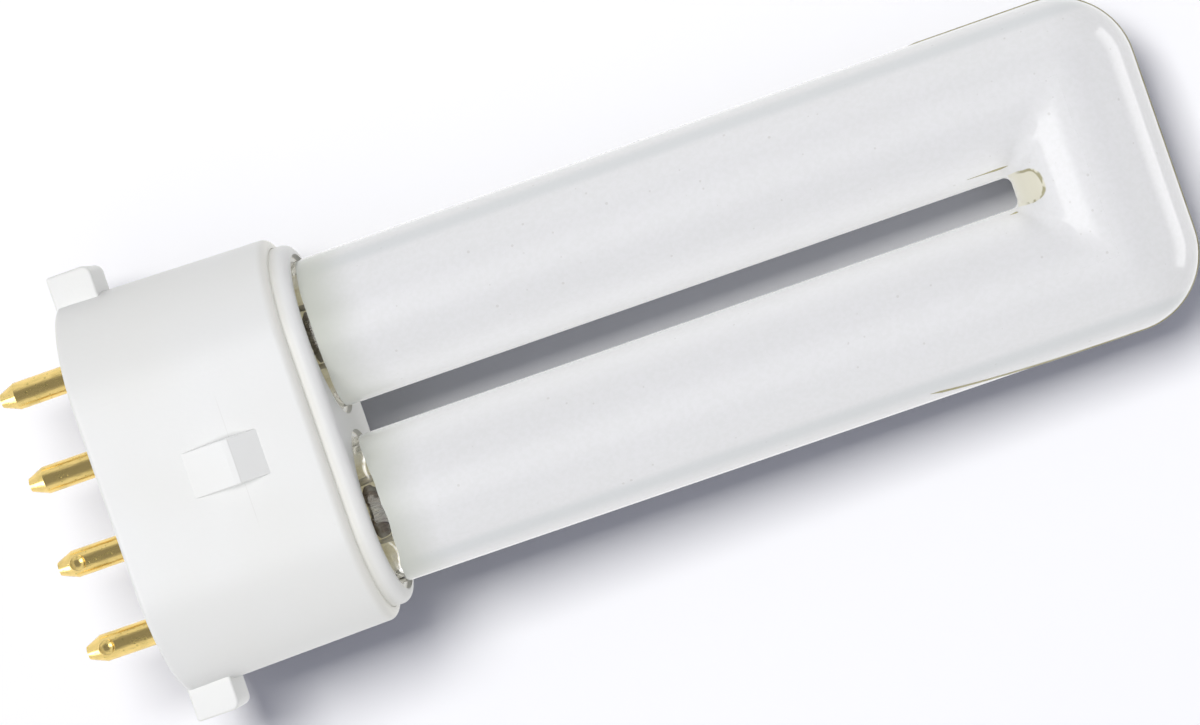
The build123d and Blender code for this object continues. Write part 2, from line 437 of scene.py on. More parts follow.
def move_corners(piece, place, selected_only=False):
    """Puts the corners of an open piece where the function says."""
    mesh = bmesh.from_edit_mesh(piece.data)
    for corner in mesh.verts:
        if corner.select or not selected_only:
            corner.co = place(corner.co)
    bmesh.update_edit_mesh(piece.data)


def extrude(reach, rows=1):
    """Extrudes the selection by the reach, in equal rows."""
    for _ in range(rows):
        step = tuple(Vector(reach) / rows)
        bpy.ops.mesh.extrude_region_move(TRANSFORM_OT_translate={"value": step})


def quarter_turn(centre_x, centre_y, way, rows):
    """Spins the selection by a quarter about an upright axis, to the left for 1, to the right for -1."""
    bpy.ops.mesh.spin(
        steps=rows, angle=pi / 2, center=(centre_x, centre_y, 0), axis=(0, 0, -way)
    )


def clean_shell(piece):
    """Merges the corners of an open piece and turns its faces outwards."""
    bpy.ops.mesh.select_mode(type="VERT")
    bpy.ops.mesh.select_all(action="SELECT")
    bpy.ops.mesh.remove_doubles(threshold=MERGE)
    bpy.ops.mesh.normals_make_consistent(inside=False)


def apply_modifier(piece, kind, **settings):
    """Adds a modifier with these settings to the active piece and applies it."""
    modifier = piece.modifiers.new(kind.title(), kind)
    for name, value in settings.items():
        setattr(modifier, name, value)
    bpy.ops.object.modifier_apply(modifier=modifier.name)


def finish_piece(piece, material, slot, *nodes):
    """Smooths a modelled piece, gives it its finish and hands it to the frame."""
    leave_editing()
    bpy.ops.object.shade_smooth_by_angle(angle=SMOOTH_ANGLE)
    piece.data.materials.clear()
    piece.data.materials.append(material)
    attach(piece, "root")
    if nodes:
        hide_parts(*nodes)


def dress_nodes(material, *nodes):
    """Gives nodes of the frame a finish."""
    for node in nodes:
        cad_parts[node].material_slots[0].material = material


def add_spindle(place, turn, step, radii, corners):
    """Adds a closed rod to an open piece: a ring of each radius in turn, a step apart."""
    bpy.ops.mesh.primitive_circle_add(
        vertices=corners, radius=radii[0], fill_type="NGON", location=place, rotation=turn
    )
    for before, after in zip(radii, radii[1:]):
        extrude(step)
        wider = [1 if way else after / before for way in step]
        bpy.ops.transform.resize(value=wider, center_override=place)


def coating_edge(glass, name, point):
    """Where the coating starts along the bulb, at this point round the foot of one leg."""
    side = SIDES[name]
    bare = {"left": glass.bare_left, "right": glass.bare_right}[name]
    outward = (abs(point.y) - LEG_Y) / GLASS_R
    upward = point.z / GLASS_R
    drips = noise.noise(Vector((DRIPS * outward, DRIPS * upward, side)))
    ripple = noise.noise(Vector((RIPPLES * outward, RIPPLES * upward, RIPPLE_SLICE * side)))
    return COLLAR_X + bare * (1 - glass.edge_dip * outward**2 + glass.edge_wave * (drips + ripple / 2))


class NodeSketch:
    """Adds nodes to one tree, sets or links their inputs, and hands back what they put out."""

    def __init__(self, tree):
        self.tree = tree

    def add(self, kind, settings=None, **inputs):
        """A new node of this kind, with these settings and inputs."""
        node = self.tree.nodes.new("ShaderNode" + kind)
        for name, value in (settings or {}).items():
            setattr(node, name, value)
        self.fill(node, **inputs)
        return node

    def fill(self, node, **inputs):
        """Feeds a node's inputs by name, with an underscore for each space."""
        for name, value in inputs.items():
            self.feed(node.inputs[name.replace("_", " ")], value)

    def feed(self, socket, value):
        """Links what another node puts out, or sets a number, a place or a colour."""
        if isinstance(value, bpy.types.NodeSocket):
            self.tree.links.new(value, socket)
        elif socket.type == "RGBA":
            socket.default_value = (*value, 1.0)
        else:
            socket.default_value = value

    def axes(self, place):
        """The parts of a place, by the names X, Y and Z."""
        return self.add("SeparateXYZ", Vector=place).outputs

    def math(self, operation, first, second=0.0):
        """What an operation makes of one value or two."""
        node = self.add("Math", {"operation": operation})
        self.feed(node.inputs[0], first)
        self.feed(node.inputs[1], second)
        return node.outputs[0]

    def times(self, first, second):
        """The product of two values."""
        return self.math("MULTIPLY", first, second)

    def away(self, value, middle=0.0):
        """How far a value lies from the middle, on either side."""
        if middle:
            value = self.math("SUBTRACT", value, middle)
        return self.math("ABSOLUTE", value)

    def ramp(self, value, start, end):
        """0 at the start and 1 at the end, eased, in either order."""
        node = self.add("MapRange", {"interpolation_type": "SMOOTHSTEP"}, Value=value)
        rising = float(start < end)
        self.fill(node, From_Min=min(start, end), From_Max=max(start, end))
        self.fill(node, To_Min=1.0 - rising, To_Max=rising)
        return node.outputs["Result"]

    def spread(self, value, low, high):
        """Takes a value from 0 to 1 to the range from low to high."""
        return self.add("MapRange", Value=value, To_Min=low, To_Max=high).outputs["Result"]

    def mix(self, factor, first, second):
        """The first colour where the factor is 0, and the second where it is 1."""
        node = self.add("Mix", {"data_type": "RGBA"})
        self.feed(node.inputs[0], factor)
        self.feed(node.inputs[6], first)
        self.feed(node.inputs[7], second)
        return node.outputs[2]

    def tint(self, tone, mask, other, share):
        """The tone, taken by a share of the mask towards another colour."""
        return self.mix(self.times(mask, share), tone, other)

    def group(self, tree, **inputs):
        """What a group puts out."""
        return self.add("Group", {"node_tree": tree}, **inputs).outputs[0]


class Finish(NodeSketch):
    """A new material, with its shader and the place on the piece."""

    def __init__(self, name):
        self.material = bpy.data.materials.new(name)
        self.material.use_nodes = True
        super().__init__(self.material.node_tree)
        self.shader = self.tree.nodes["Principled BSDF"]
        self.place = self.add("TexCoord").outputs["Object"]

    def blotches(self, scale, detail, place=None):
        """Soft uneven patches, on the piece or at another place."""
        place = self.place if place is None else place
        return self.group(blotch_group(), Vector=place, Scale=scale, Detail=detail)

    def specks(self, cells, size, share):
        """Small round specks."""
        return self.group(speckle_group(), Vector=self.place, Cells=cells, Size=size, Share=share)

    def bump(self, height, distance):
        """Feeds a height to the shader's normal."""
        bump = self.add("Bump", Height=height, Distance=distance, Strength=1.0)
        self.fill(self.shader, Normal=bump.outputs["Normal"])

    def complete(self, **inputs):
        """Feeds the shader's inputs and hands back the material."""
        self.fill(self.shader, **inputs)
        return self.material


def node_group(name, output, *values):
    """An empty shader group that takes a place and these values: its sketch, its inlets and its outlet."""
    tree = bpy.data.node_groups.new(name, "ShaderNodeTree")
    tree.interface.new_socket("Vector", in_out="INPUT", socket_type="NodeSocketVector")
    for label in values:
        tree.interface.new_socket(label, in_out="INPUT", socket_type="NodeSocketFloat")
    tree.interface.new_socket(output, in_out="OUTPUT", socket_type="NodeSocketFloat")
    inlet = tree.nodes.new("NodeGroupInput")
    outlet = tree.nodes.new("NodeGroupOutput")
    return NodeSketch(tree), inlet.outputs, outlet.inputs[output]


def speckle_group():
    """Small round specks, in a share of the cells of a loose grid."""
    found = bpy.data.node_groups.get("Speckle")
    if found:
        return found
    sketch, inlet, outlet = node_group("Speckle", "Mask", "Cells", "Size", "Share")
    cells = sketch.add("TexVoronoi", Vector=inlet["Vector"], Scale=inlet["Cells"])
    draw = sketch.add("SeparateColor", Color=cells.outputs["Color"])
    chosen = sketch.math("LESS_THAN", draw.outputs["Red"], inlet["Share"])
    radius = sketch.times(draw.outputs["Green"], inlet["Size"])
    depth = sketch.math("SUBTRACT", radius, cells.outputs["Distance"])
    spot = sketch.ramp(sketch.math("DIVIDE", depth, inlet["Size"]), start=0.0, end=0.3)
    sketch.feed(outlet, sketch.times(chosen, spot))
    return sketch.tree


def blotch_group():
    """Soft uneven patches, from 0 to 1."""
    found = bpy.data.node_groups.get("Blotches")
    if found:
        return found
    sketch, inlet, outlet = node_group("Blotches", "Value", "Scale", "Detail")
    cloud = sketch.add("TexNoise", Vector=inlet["Vector"], Scale=inlet["Scale"], Detail=inlet["Detail"])
    sketch.feed(outlet, sketch.ramp(cloud.outputs["Fac"], start=0.3, end=0.7))
    return sketch.tree


def bare_spot(finish, along, across):
    """The uncoated spot at the slot's end: a mask of it, and of the dark broken line of painted shade round
    it.
    """
    length, half_width = 2.3 * MM, 1.2 * MM
    bluntness, uneven = 3.0, -0.08
    out = finish.math("DIVIDE", finish.math("SUBTRACT", along, SLOT_END_X), length)
    over = finish.math("DIVIDE", finish.away(across), half_width)
    blunt = [finish.math("POWER", finish.math("MAXIMUM", way, 0.0), bluntness) for way in (out, over)]
    reach = finish.math("POWER", finish.math("ADD", *blunt), 1 / bluntness)
    waver = finish.blotches(scale=520.0, detail=1.0)
    reach = finish.math("ADD", reach, finish.times(waver, uneven))
    inside = finish.ramp(reach, start=1.10, end=1.02)
    inside = finish.times(inside, finish.ramp(out, start=-0.06, end=0.0))
    broken = finish.blotches(scale=1300.0, detail=1.0)
    line = finish.ramp(finish.away(reach, 1.0), start=0.10, end=0.04)
    line = finish.times(line, finish.ramp(broken, start=0.05, end=0.4))
    return inside, finish.times(line, finish.ramp(out, start=0.2, end=0.45))


def coating_finish(colours):
    """White coating behind clear glass: faint speckle, thin at the feet, bare at the slot's end, with
    painted shade down the outer sides and round the bare spot, and a painted glow along the slot.
    """
    finish = Finish("white_coating")
    place = finish.axes(finish.place)
    along, across = place["X"], place["Y"]
    white, thin = colours.coating, colours.coating_foot
    cloud = finish.blotches(scale=90.0, detail=3.0)
    grain = finish.blotches(scale=2600.0, detail=2.0)
    specks = finish.specks(cells=1500.0, size=0.22, share=0.22)
    tone = finish.tint(white, cloud, thin, share=0.045)
    tone = finish.tint(tone, grain, thin, share=0.09)
    tone = finish.tint(tone, specks, colours.dust, share=0.28)
    # Painted shade down the outer sides of the legs, a darker band where the light falls off
    off_middle = finish.away(across)
    side_y = LEG_Y + 4.8 * MM
    side = finish.ramp(finish.away(off_middle, side_y), start=0.8 * MM, end=0.1 * MM)
    tone = finish.tint(tone, side, colours.side_shade, share=0.6)
    # Thin coating by the feet, with an uneven end
    ragged = finish.math("ADD", along, finish.times(cloud, 1.5 * MM))
    foot = finish.ramp(ragged, start=COLLAR_X + 6.2 * MM, end=COLLAR_X + 1.3 * MM)
    tone = finish.tint(tone, foot, thin, share=0.9)
    spot, line = bare_spot(finish, along, across)
    tone = finish.tint(tone, spot, colours.bare_glass, share=0.9)
    # Painted shade: the dark broken line round the bare spot
    tone = finish.tint(tone, line, colours.seam, share=0.85)
    # Painted glow on the legs' sides along the slot, standing in for light that the legs pass on to each
    # other across it
    lit = finish.ramp(off_middle, start=4.4 * MM, end=1.4 * MM)
    lit = finish.times(lit, finish.ramp(along, start=SLOT_END_X + 1.0 * MM, end=SLOT_END_X - 1.0 * MM))
    return finish.complete(
        Base_Color=tone,
        Roughness=0.55,
        Coat_Weight=1.0,
        Coat_Roughness=0.1,
        Coat_IOR=1.5,
        Emission_Color=finish.mix(lit, BLACK, white),
        Emission_Strength=0.22,
    )


def clear_glass_finish(colours):
    """Clear drawn glass with a faint waviness, and a painted highlight, a broken white streak that glows by
    the coating's edge.
    """
    finish = Finish("clear_glass")
    place = finish.axes(finish.place)
    waves = finish.blotches(scale=420.0, detail=1.0)
    broken = finish.blotches(scale=650.0, detail=2.0)
    # Painted highlight: a broken white streak that glows just past the coating's edge
    highlight_x = COLLAR_X + 0.5 * MM
    wander = finish.math("ADD", place["X"], finish.times(waves, -0.35 * MM))
    painted_highlight = finish.ramp(finish.away(wander, highlight_x), start=0.14 * MM, end=0.04 * MM)
    painted_highlight = finish.times(painted_highlight, finish.ramp(broken, start=0.2, end=0.6))
    # No painted highlight over the coil
    off_leg = finish.away(finish.away(place["Y"]), LEG_Y)
    painted_highlight = finish.times(painted_highlight, finish.ramp(off_leg, start=2.3 * MM, end=3.0 * MM))
    finish.bump(waves, 0.05 * MM)
    return finish.complete(
        Base_Color=finish.mix(waves, colours.glass, colours.glass_thick),
        Emission_Color=finish.mix(painted_highlight, BLACK, colours.coating),
        Emission_Strength=0.6,
        Roughness=0.0,
        IOR=1.5,
        Transmission_Weight=1.0,
    )


def seam_finish(colours):
    """Olive glass of the mould seam, paler in places."""
    finish = Finish("mould_seam")
    patches = finish.blotches(scale=500.0, detail=3.0)
    pale = finish.mix(factor=0.35, first=colours.seam, second=colours.bare_glass)
    finish.bump(patches, 0.02 * MM)
    return finish.complete(Base_Color=finish.mix(patches, colours.seam, pale), Roughness=0.5)


def plastic_finish(colours):
    """Satin moulded plastic: fine grain, a few specks, painted shade and a painted glow at the rim's root,
    faint mould lines.
    """
    finish = Finish("base_plastic")
    place = finish.axes(finish.place)
    cloud = finish.blotches(scale=70.0, detail=2.0)
    grain = finish.blotches(scale=3200.0, detail=3.0)
    specks = finish.specks(cells=260.0, size=0.045, share=0.16)
    tone = finish.tint(colours.plastic, cloud, colours.aged_plastic_and_root_shade, share=0.25)
    # Painted shade at the root between the housing's rim and the collar, and a painted glow in the crease
    # there
    off_root = finish.away(place["X"], ROOT_X)
    root = finish.ramp(off_root, start=0.9 * MM, end=0.1 * MM)
    tone = finish.tint(tone, root, colours.aged_plastic_and_root_shade, share=0.6)
    painted_root_glow = finish.ramp(off_root, start=0.4 * MM, end=0.0)
    # Faint mould line across the wide sides, beside the catches
    line = finish.ramp(finish.away(place["X"], MOULD_LINE_X), start=0.05 * MM, end=0.02 * MM)
    line = finish.times(line, finish.ramp(finish.away(place["Y"]), start=6.0 * MM, end=4.0 * MM))
    tone = finish.tint(tone, line, colours.dust, share=0.12)
    tone = finish.tint(tone, specks, colours.dust, share=0.5)
    finish.bump(grain, 0.004 * MM)
    return finish.complete(
        Base_Color=tone,
        Roughness=finish.spread(cloud, low=0.34, high=0.44),
        Emission_Color=finish.mix(painted_root_glow, BLACK, colours.aged_plastic_and_root_shade),
        Emission_Strength=0.1,
    )


def cement_finish(colours):
    """Crumbly cream cement with a painted glow for light that soaks through the coating, and an ochre skin
    at the edge of its hole.
    """
    finish = Finish("cement")
    place = finish.axes(finish.place)
    off_leg = finish.math("SUBTRACT", finish.away(place["Y"]), LEG_Y)
    squares = [finish.math("POWER", way, 2.0) for way in (off_leg, place["Z"])]
    radius = finish.math("SQRT", finish.math("ADD", *squares))
    grit = finish.blotches(scale=1500.0, detail=5.0)
    pale = finish.tint(colours.cement, grit, colours.cement_skin, share=0.3)
    skin = finish.ramp(radius, start=TUBE_R + 0.2 * MM, end=TUBE_R + 0.35 * MM)
    tone = finish.mix(skin, pale, colours.cement_skin)
    # White where the collar's bore comes near the leg's sides
    beside = finish.ramp(finish.away(off_leg), start=4.4 * MM, end=5.6 * MM)
    tone = finish.tint(tone, beside, colours.plastic, share=0.8)
    finish.bump(grit, 0.05 * MM)
    # Painted glow: the cement's emission stands in for light that soaks through the white coating
    return finish.complete(Base_Color=tone, Emission_Color=tone, Emission_Strength=0.38, Roughness=0.9)


def brass_finish(colours):
    """Gold-washed pins: drawing marks along the pin, dull patches and fine pits."""
    finish = Finish("pin_brass")
    stretched = finish.add("Mapping", Vector=finish.place, Scale=(0.25, 1.0, 1.0)).outputs["Vector"]
    streaks = finish.blotches(scale=3500.0, detail=3.0, place=stretched)
    patches = finish.blotches(scale=900.0, detail=4.0)
    pits = finish.specks(cells=3600.0, size=0.45, share=0.45)
    worn = finish.times(streaks, patches)
    tone = finish.tint(colours.brass, worn, colours.tarnish, share=0.5)
    tone = finish.tint(tone, pits, colours.tarnish, share=0.5)
    finish.bump(finish.math("SUBTRACT", streaks, pits), 0.006 * MM)
    return finish.complete(
        Base_Color=tone, Metallic=1.0, Roughness=finish.spread(worn, low=0.18, high=0.36)
    )


def wire_finish(name, base, dust, metal, rough):
    """Dull wire with paler patches."""
    finish = Finish(name)
    patches = finish.blotches(scale=1100.0, detail=4.0)
    finish.bump(patches, 0.02 * MM)
    return finish.complete(Base_Color=finish.mix(patches, base, dust), Metallic=metal, Roughness=rough)


def bead_finish(colours):
    """Fused glass bead, cloudy in places."""
    finish = Finish("bead_glass")
    cloud = finish.blotches(scale=600.0, detail=2.0)
    finish.bump(cloud, 0.02 * MM)
    return finish.complete(Base_Color=finish.mix(cloud, colours.bead, colours.coating), Roughness=0.12)


class BULB_OT_coated_tube(bpy.types.Operator):
    """Models the white-coated glass U, from the coating's two edges round the tip"""

    bl_idname = "bulb.coated_tube"
    bl_label = "Coated Tube"

    def execute(self, context):
        glass = context.scene.bulb_glass
        start_x = COLLAR_X + glass.bare_left
        turn_x = SLOT_END_X - VALLEY_ROOM * glass.valley
        tube = begin_ring("coated_tube", glass.corners, GLASS_R, (start_x, LEG_Y, 0), ALONG_X)
        extrude((turn_x - start_x, 0, 0), LEG_ROWS)
        # Outer half of the leg: on to the tip, round its corner and across to the middle
        pick(tube, "EDGE", lambda p: p.x > turn_x - NEAR and p.y > LEG_Y - NEAR)
        extrude((CROWN_X - turn_x, 0, 0), BEND_ROWS)
        quarter_turn(CROWN_X, LEG_Y, -1, 2 * BEND_ROWS)
        pick(tube, "EDGE", lambda p: p.x > CROWN_X - NEAR and abs(p.y - LEG_Y) < NEAR)
        extrude((0, -LEG_Y, 0), BEND_ROWS)
        # Inner half of the leg: on to the slot's corner, round it and across to the middle
        pick(tube, "EDGE", lambda p: abs(p.x - turn_x) < NEAR and p.y < LEG_Y + NEAR)
        for row in range(1, 2 * BEND_ROWS + VALLEY_ROWS + 1):
            extrude((0, 0, 0))
            move_corners(tube, lambda p: self.inner_place(glass, turn_x, row, p.z), selected_only=True)
        clean_shell(tube)
        bpy.ops.object.mode_set(mode="OBJECT")
        apply_modifier(tube, "MIRROR", use_axis=(False, True, False), merge_threshold=10 * MERGE)
        bpy.ops.object.mode_set(mode="EDIT")
        move_corners(tube, lambda p: self.trimmed(glass, start_x, p))
        clean_shell(tube)
        bpy.ops.object.mode_set(mode="OBJECT")
        apply_modifier(tube, "SOLIDIFY", thickness=glass.wall, offset=-1.0)
        finish = coating_finish(context.scene.bulb_finish)
        finish_piece(tube, finish, "white_coating", "discharge_tube", "phosphor_coating")
        return {"FINISHED"}

    def inner_place(self, glass, turn_x, row, height):
        """Where one row of the leg's inner half lies at this height, the slot's corner rounded."""
        inset = GLASS_R * cos(asin(min(abs(height) / GLASS_R, 1)))
        radius = min(glass.valley * GLASS_R / inset, VALLEY_SHARE * inset) if inset > NEAR else 0
        end_x, side_y = CROWN_X - inset, LEG_Y - inset
        if row <= BEND_ROWS:
            share = row / BEND_ROWS
            return Vector((turn_x + share * (end_x - radius - turn_x), side_y, height))
        if row <= BEND_ROWS + VALLEY_ROWS:
            turn = pi / 2 * (row - BEND_ROWS) / VALLEY_ROWS
            return Vector((end_x - radius * (1 - sin(turn)), side_y - radius * (1 - cos(turn)), height))
        share = (row - BEND_ROWS - VALLEY_ROWS) / BEND_ROWS
        return Vector((end_x, (side_y - radius) * (1 - share), height))

    def trimmed(self, glass, start_x, point):
        """Moves the corners of the two open ends to the coating's uneven edge."""
        if point.x > start_x + NEAR:
            return point
        name = "left" if point.y > 0 else "right"
        return Vector((coating_edge(glass, name, point), point.y, point.z))


class BULB_OT_foot_glass(bpy.types.Operator):
    """Models the clear foot of each leg, from the coating's edge down to the pressed seal"""

    bl_idname = "bulb.foot_glass"
    bl_label = "Foot Glass"

    def execute(self, context):
        glass = context.scene.bulb_glass
        finish = clear_glass_finish(context.scene.bulb_finish)
        seal_end_x = tube_low.x + glass.exhaust_length
        seal_top_x = seal_end_x + glass.seal_length + glass.seal_taper
        for name, side in SIDES.items():
            place = (COLLAR_X, side * LEG_Y, 0)
            foot = begin_ring(f"foot_glass_{name}", glass.corners, GLASS_R, place, ALONG_X)
            move_corners(foot, lambda p: Vector((coating_edge(glass, name, p), p.y, p.z)))
            axis = (seal_top_x, side * LEG_Y, 0)
            extrude((seal_top_x - COLLAR_X, 0, 0))
            bpy.ops.transform.resize(value=(0, 1, 1), center_override=axis)
            extrude((-glass.seal_taper, 0, 0))
            pressed = glass.seal_thickness / 2 / GLASS_R
            bpy.ops.transform.resize(value=(1, 1, pressed), center_override=axis)
            extrude((-glass.seal_length, 0, 0))
            bpy.ops.mesh.edge_face_add()
            clean_shell(foot)
            bpy.ops.object.mode_set(mode="OBJECT")
            apply_modifier(foot, "SOLIDIFY", thickness=glass.wall, offset=-1.0)
            if side > 0:
                self.add_exhaust_tip(foot, glass, seal_end_x)
            finish_piece(foot, finish, "clear_glass")
        return {"FINISHED"}

    def add_exhaust_tip(self, foot, glass, seal_end_x):
        """Draws the stub, through which the tube was filled and sealed, out of the pressed end."""
        bpy.ops.object.mode_set(mode="EDIT")
        pick(foot, "FACE", lambda p: p.x < seal_end_x + NEAR)
        centre = (seal_end_x, LEG_Y, 0)
        margin = (glass.seal_thickness - glass.exhaust_d) / 2
        bpy.ops.mesh.inset(thickness=margin)
        narrow = glass.exhaust_d / 2 / (GLASS_R - margin)
        bpy.ops.transform.resize(value=(1, narrow, 1), center_override=centre)
        extrude((-glass.exhaust_length, 0, 0))
        bpy.ops.transform.resize(value=(1, STUB_POINT, STUB_POINT), center_override=centre)


class BULB_OT_mould_seam(bpy.types.Operator):
    """Models the fine seam that the mould left round the tip and beside the slot's end"""

    bl_idname = "bulb.mould_seam"
    bl_label = "Mould Seam"

    def execute(self, context):
        seam = context.scene.bulb_seam
        side_y = LEG_Y + GLASS_R
        start = (seam.start_right, -side_y, 0)
        ridge = begin_ring("mould_seam", SEAM_CORNERS, seam.width / 2, start, ALONG_X)
        flat = 2 * SEAM_PROUD / seam.width
        bpy.ops.transform.resize(value=(1, flat, 1), center_override=(0, -side_y, 0))
        extrude((CROWN_X - seam.start_right, 0, 0), SEAM_ROWS)
        quarter_turn(CROWN_X, -LEG_Y, 1, 2 * BEND_ROWS)
        pick(ridge, "EDGE", lambda p: p.x > CROWN_X and p.y > -LEG_Y - NEAR)
        extrude((0, 2 * LEG_Y, 0), SEAM_ROWS)
        quarter_turn(CROWN_X, LEG_Y, 1, 2 * BEND_ROWS)
        pick(ridge, "EDGE", lambda p: p.x < CROWN_X + NEAR and p.y > 0)
        extrude((seam.start_left - CROWN_X, 0, 0), SEAM_ROWS)
        self.taper(ridge, seam.start_left, side_y)
        self.taper(ridge, seam.start_right, -side_y)
        move_corners(ridge, lambda p: self.climbed(seam, p))
        self.add_line(seam, 1, seam.line_start, seam.line_length, seam.line_lift)
        self.add_line(seam, -1, seam.dash_start, seam.dash_length, seam.dash_lift)
        clean_shell(ridge)
        finish_piece(ridge, seam_finish(context.scene.bulb_finish), "clear_glass")
        return {"FINISHED"}

    def taper(self, ridge, end_x, end_y):
        """Draws one end of the ridge to a point and closes it."""
        pick(ridge, "EDGE", lambda p: abs(p.x - end_x) < NEAR and p.y * end_y > 0)
        bpy.ops.transform.resize(
            value=(1, SEAM_POINT, SEAM_POINT), center_override=(end_x, end_y, 0)
        )
        bpy.ops.mesh.edge_face_add()

    def add_line(self, seam, side, start_x, length, lift):
        """Adds a fine ridge beside the slot's end, thickest near its end and pointed at both."""
        out = Matrix.Rotation(-side * lift, 3, "X") @ Vector((0, -side, 0))
        place = Vector((start_x, side * LEG_Y, 0)) + GLASS_R * out
        step = (length / (len(LINE_SHARES) - 1), 0, 0)
        radii = [share * seam.width / SEAM_TO_LINE for share in LINE_SHARES]
        add_spindle(place, ALONG_X, step, radii, SEAM_CORNERS)

    def climbed(self, seam, point):
        """Turns the ridge up round the right leg, more and more towards its start."""
        if point.y > 0 or point.x > CROWN_X:
            return point
        share = (CROWN_X - point.x) / (CROWN_X - seam.start_right)
        axis = Vector((point.x, -LEG_Y, 0))
        return axis + Matrix.Rotation(-seam.lift * share**SEAM_CLIMB, 3, "X") @ (point - axis)


class BULB_OT_electrode_coils(bpy.types.Operator):
    """Models the wound filament that spans the two leads of each leg"""

    bl_idname = "bulb.electrode_coils"
    bl_label = "Electrode Coils"

    def execute(self, context):
        coil_size = context.scene.bulb_electrode
        colours = context.scene.bulb_finish
        tones = (colours.filament, colours.dust)
        finish = wire_finish("coil_wire", *tones, metal=0.2, rough=0.45)
        pattern = self.model_coil(coil_size)
        for name in SIDES:
            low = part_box(f"electrode_coil_{name}")[0]
            coil = copy_piece(pattern, f"wound_coil_{name}", (COIL_X - coil_size.setback, low.y, 0))
            finish_piece(coil, finish, "coil_wire", f"electrode_coil_{name}")
        bpy.data.objects.remove(pattern)
        return {"FINISHED"}

    def model_coil(self, coil_size):
        """Winds the wire round the Y axis, from the origin on, and packs its middle."""
        wire_r = coil_size.wire / 2
        wound = COIL_LENGTH - 2 * coil_size.bare_end
        coil = begin_ring("coil_pattern", WIRE_CORNERS, wire_r, (0, 0, COIL_R - wire_r), ALONG_X)
        bpy.ops.object.mode_set(mode="OBJECT")
        apply_modifier(
            coil,
            "SCREW",
            axis="Y",
            screw_offset=(wound - coil_size.wire) / coil_size.turns,
            iterations=coil_size.turns,
            steps=COIL_CORNERS,
            render_steps=COIL_CORNERS,
        )
        coil.location.y = coil_size.bare_end + wire_r
        bpy.ops.object.transform_apply(location=True)
        bpy.ops.object.mode_set(mode="EDIT")
        bpy.ops.mesh.select_all(action="SELECT")
        bpy.ops.mesh.fill_holes(sides=0)
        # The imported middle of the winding, drawn in at both ends
        margin = CORE_MARGIN * COIL_LENGTH
        radii = [share * COIL_R for share in CORE_SHARES]
        step = (COIL_LENGTH - 2 * margin) / (len(radii) - 1)
        add_spindle((0, margin, 0), ALONG_Y, (0, step, 0), radii, COIL_CORNERS)
        clean_shell(coil)
        return coil


class BULB_OT_dimple_rims(bpy.types.Operator):
    """Models the burr that the crimping punch raised round the dimple of each pin"""

    bl_idname = "bulb.dimple_rims"
    bl_label = "Dimple Rims"

    def execute(self, context):
        rim = context.scene.bulb_rim
        finish = brass_finish(context.scene.bulb_finish)
        pattern = self.model_rim(rim)
        for number in PINS:
            low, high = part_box(f"contact_pin_{number}")
            pin_y = (low.y + high.y) / 2
            # The dimples face up on the right leg's pins and down on the left leg's
            turn = UPSIDE_DOWN if pin_y > 0 else UPRIGHT
            ring = copy_piece(pattern, f"dimple_rim_{number}", (PIN_END_X + rim.setback, pin_y, 0), turn)
            finish_piece(ring, finish, "pin_brass")
        bpy.data.objects.remove(pattern)
        return {"FINISHED"}

    def model_rim(self, rim):
        """Raises the burr at the origin, on the upper side of a pin along X."""
        middle, outer = rim.radius + rim.width / 2, rim.radius + rim.width
        lowest = -2 * rim.height
        # Radius and height of each row, the first and the last under the pin's skin
        rows = ((rim.radius, -rim.height), (middle, rim.height), (outer, -rim.height), (middle, lowest))
        ring = begin_ring("rim_pattern", RIM_CORNERS, rim.radius, (0, 0, rows[0][1]))
        for (before, start), (after, end) in zip(rows, rows[1:]):
            extrude((0, 0, end - start))
            wider = after / before
            bpy.ops.transform.resize(value=(wider, wider, 1), center_override=(0, 0, 0))
        inner = rim.radius + NEAR
        pick(ring, "EDGE", lambda p: p.z < lowest + NEAR or p.xy.length < inner)
        bpy.ops.mesh.bridge_edge_loops()
        move_corners(ring, lambda p: self.on_pin(rim, p))
        clean_shell(ring)
        return ring

    def on_pin(self, rim, point):
        """Lays a flat place on the round of the pin."""
        skin = ((rim.pin_d / 2) ** 2 - point.y**2) ** 0.5
        return Vector((point.x, point.y, skin + point.z))


class BULB_OT_base_finish(bpy.types.Operator):
    """Finishes the moulded base and the collar, and the cement round the legs"""

    bl_idname = "bulb.base_finish"
    bl_label = "Base and Cement"

    def execute(self, context):
        colours = context.scene.bulb_finish
        dress_nodes(plastic_finish(colours), "base_housing", "tube_collar")
        dress_nodes(cement_finish(colours), "cement_ring_left", "cement_ring_right")
        return {"FINISHED"}


class BULB_OT_metal_finish(bpy.types.Operator):
    """Finishes the pins, the lead wires and the glass beads that space them"""

    bl_idname = "bulb.metal_finish"
    bl_label = "Pins and Leads"

    def execute(self, context):
        colours = context.scene.bulb_finish
        tones = (colours.lead, colours.dust)
        lead = wire_finish("lead_metal", *tones, metal=0.3, rough=0.4)
        brass = brass_finish(colours)
        for number in PINS:
            dress_nodes(brass, f"contact_pin_{number}")
            dress_nodes(lead, f"lead_wire_{number}")
        dress_nodes(bead_finish(colours), "mount_bead_left", "mount_bead_right")
        return {"FINISHED"}


def look_from(location, target, up):
    """The turn of a camera or a lamp at a place that looks at its target."""
    back = (Vector(location) - Vector(target)).normalized()
    right = Vector(up).cross(back).normalized()
    return Matrix((right, back.cross(right), back)).transposed().to_euler()


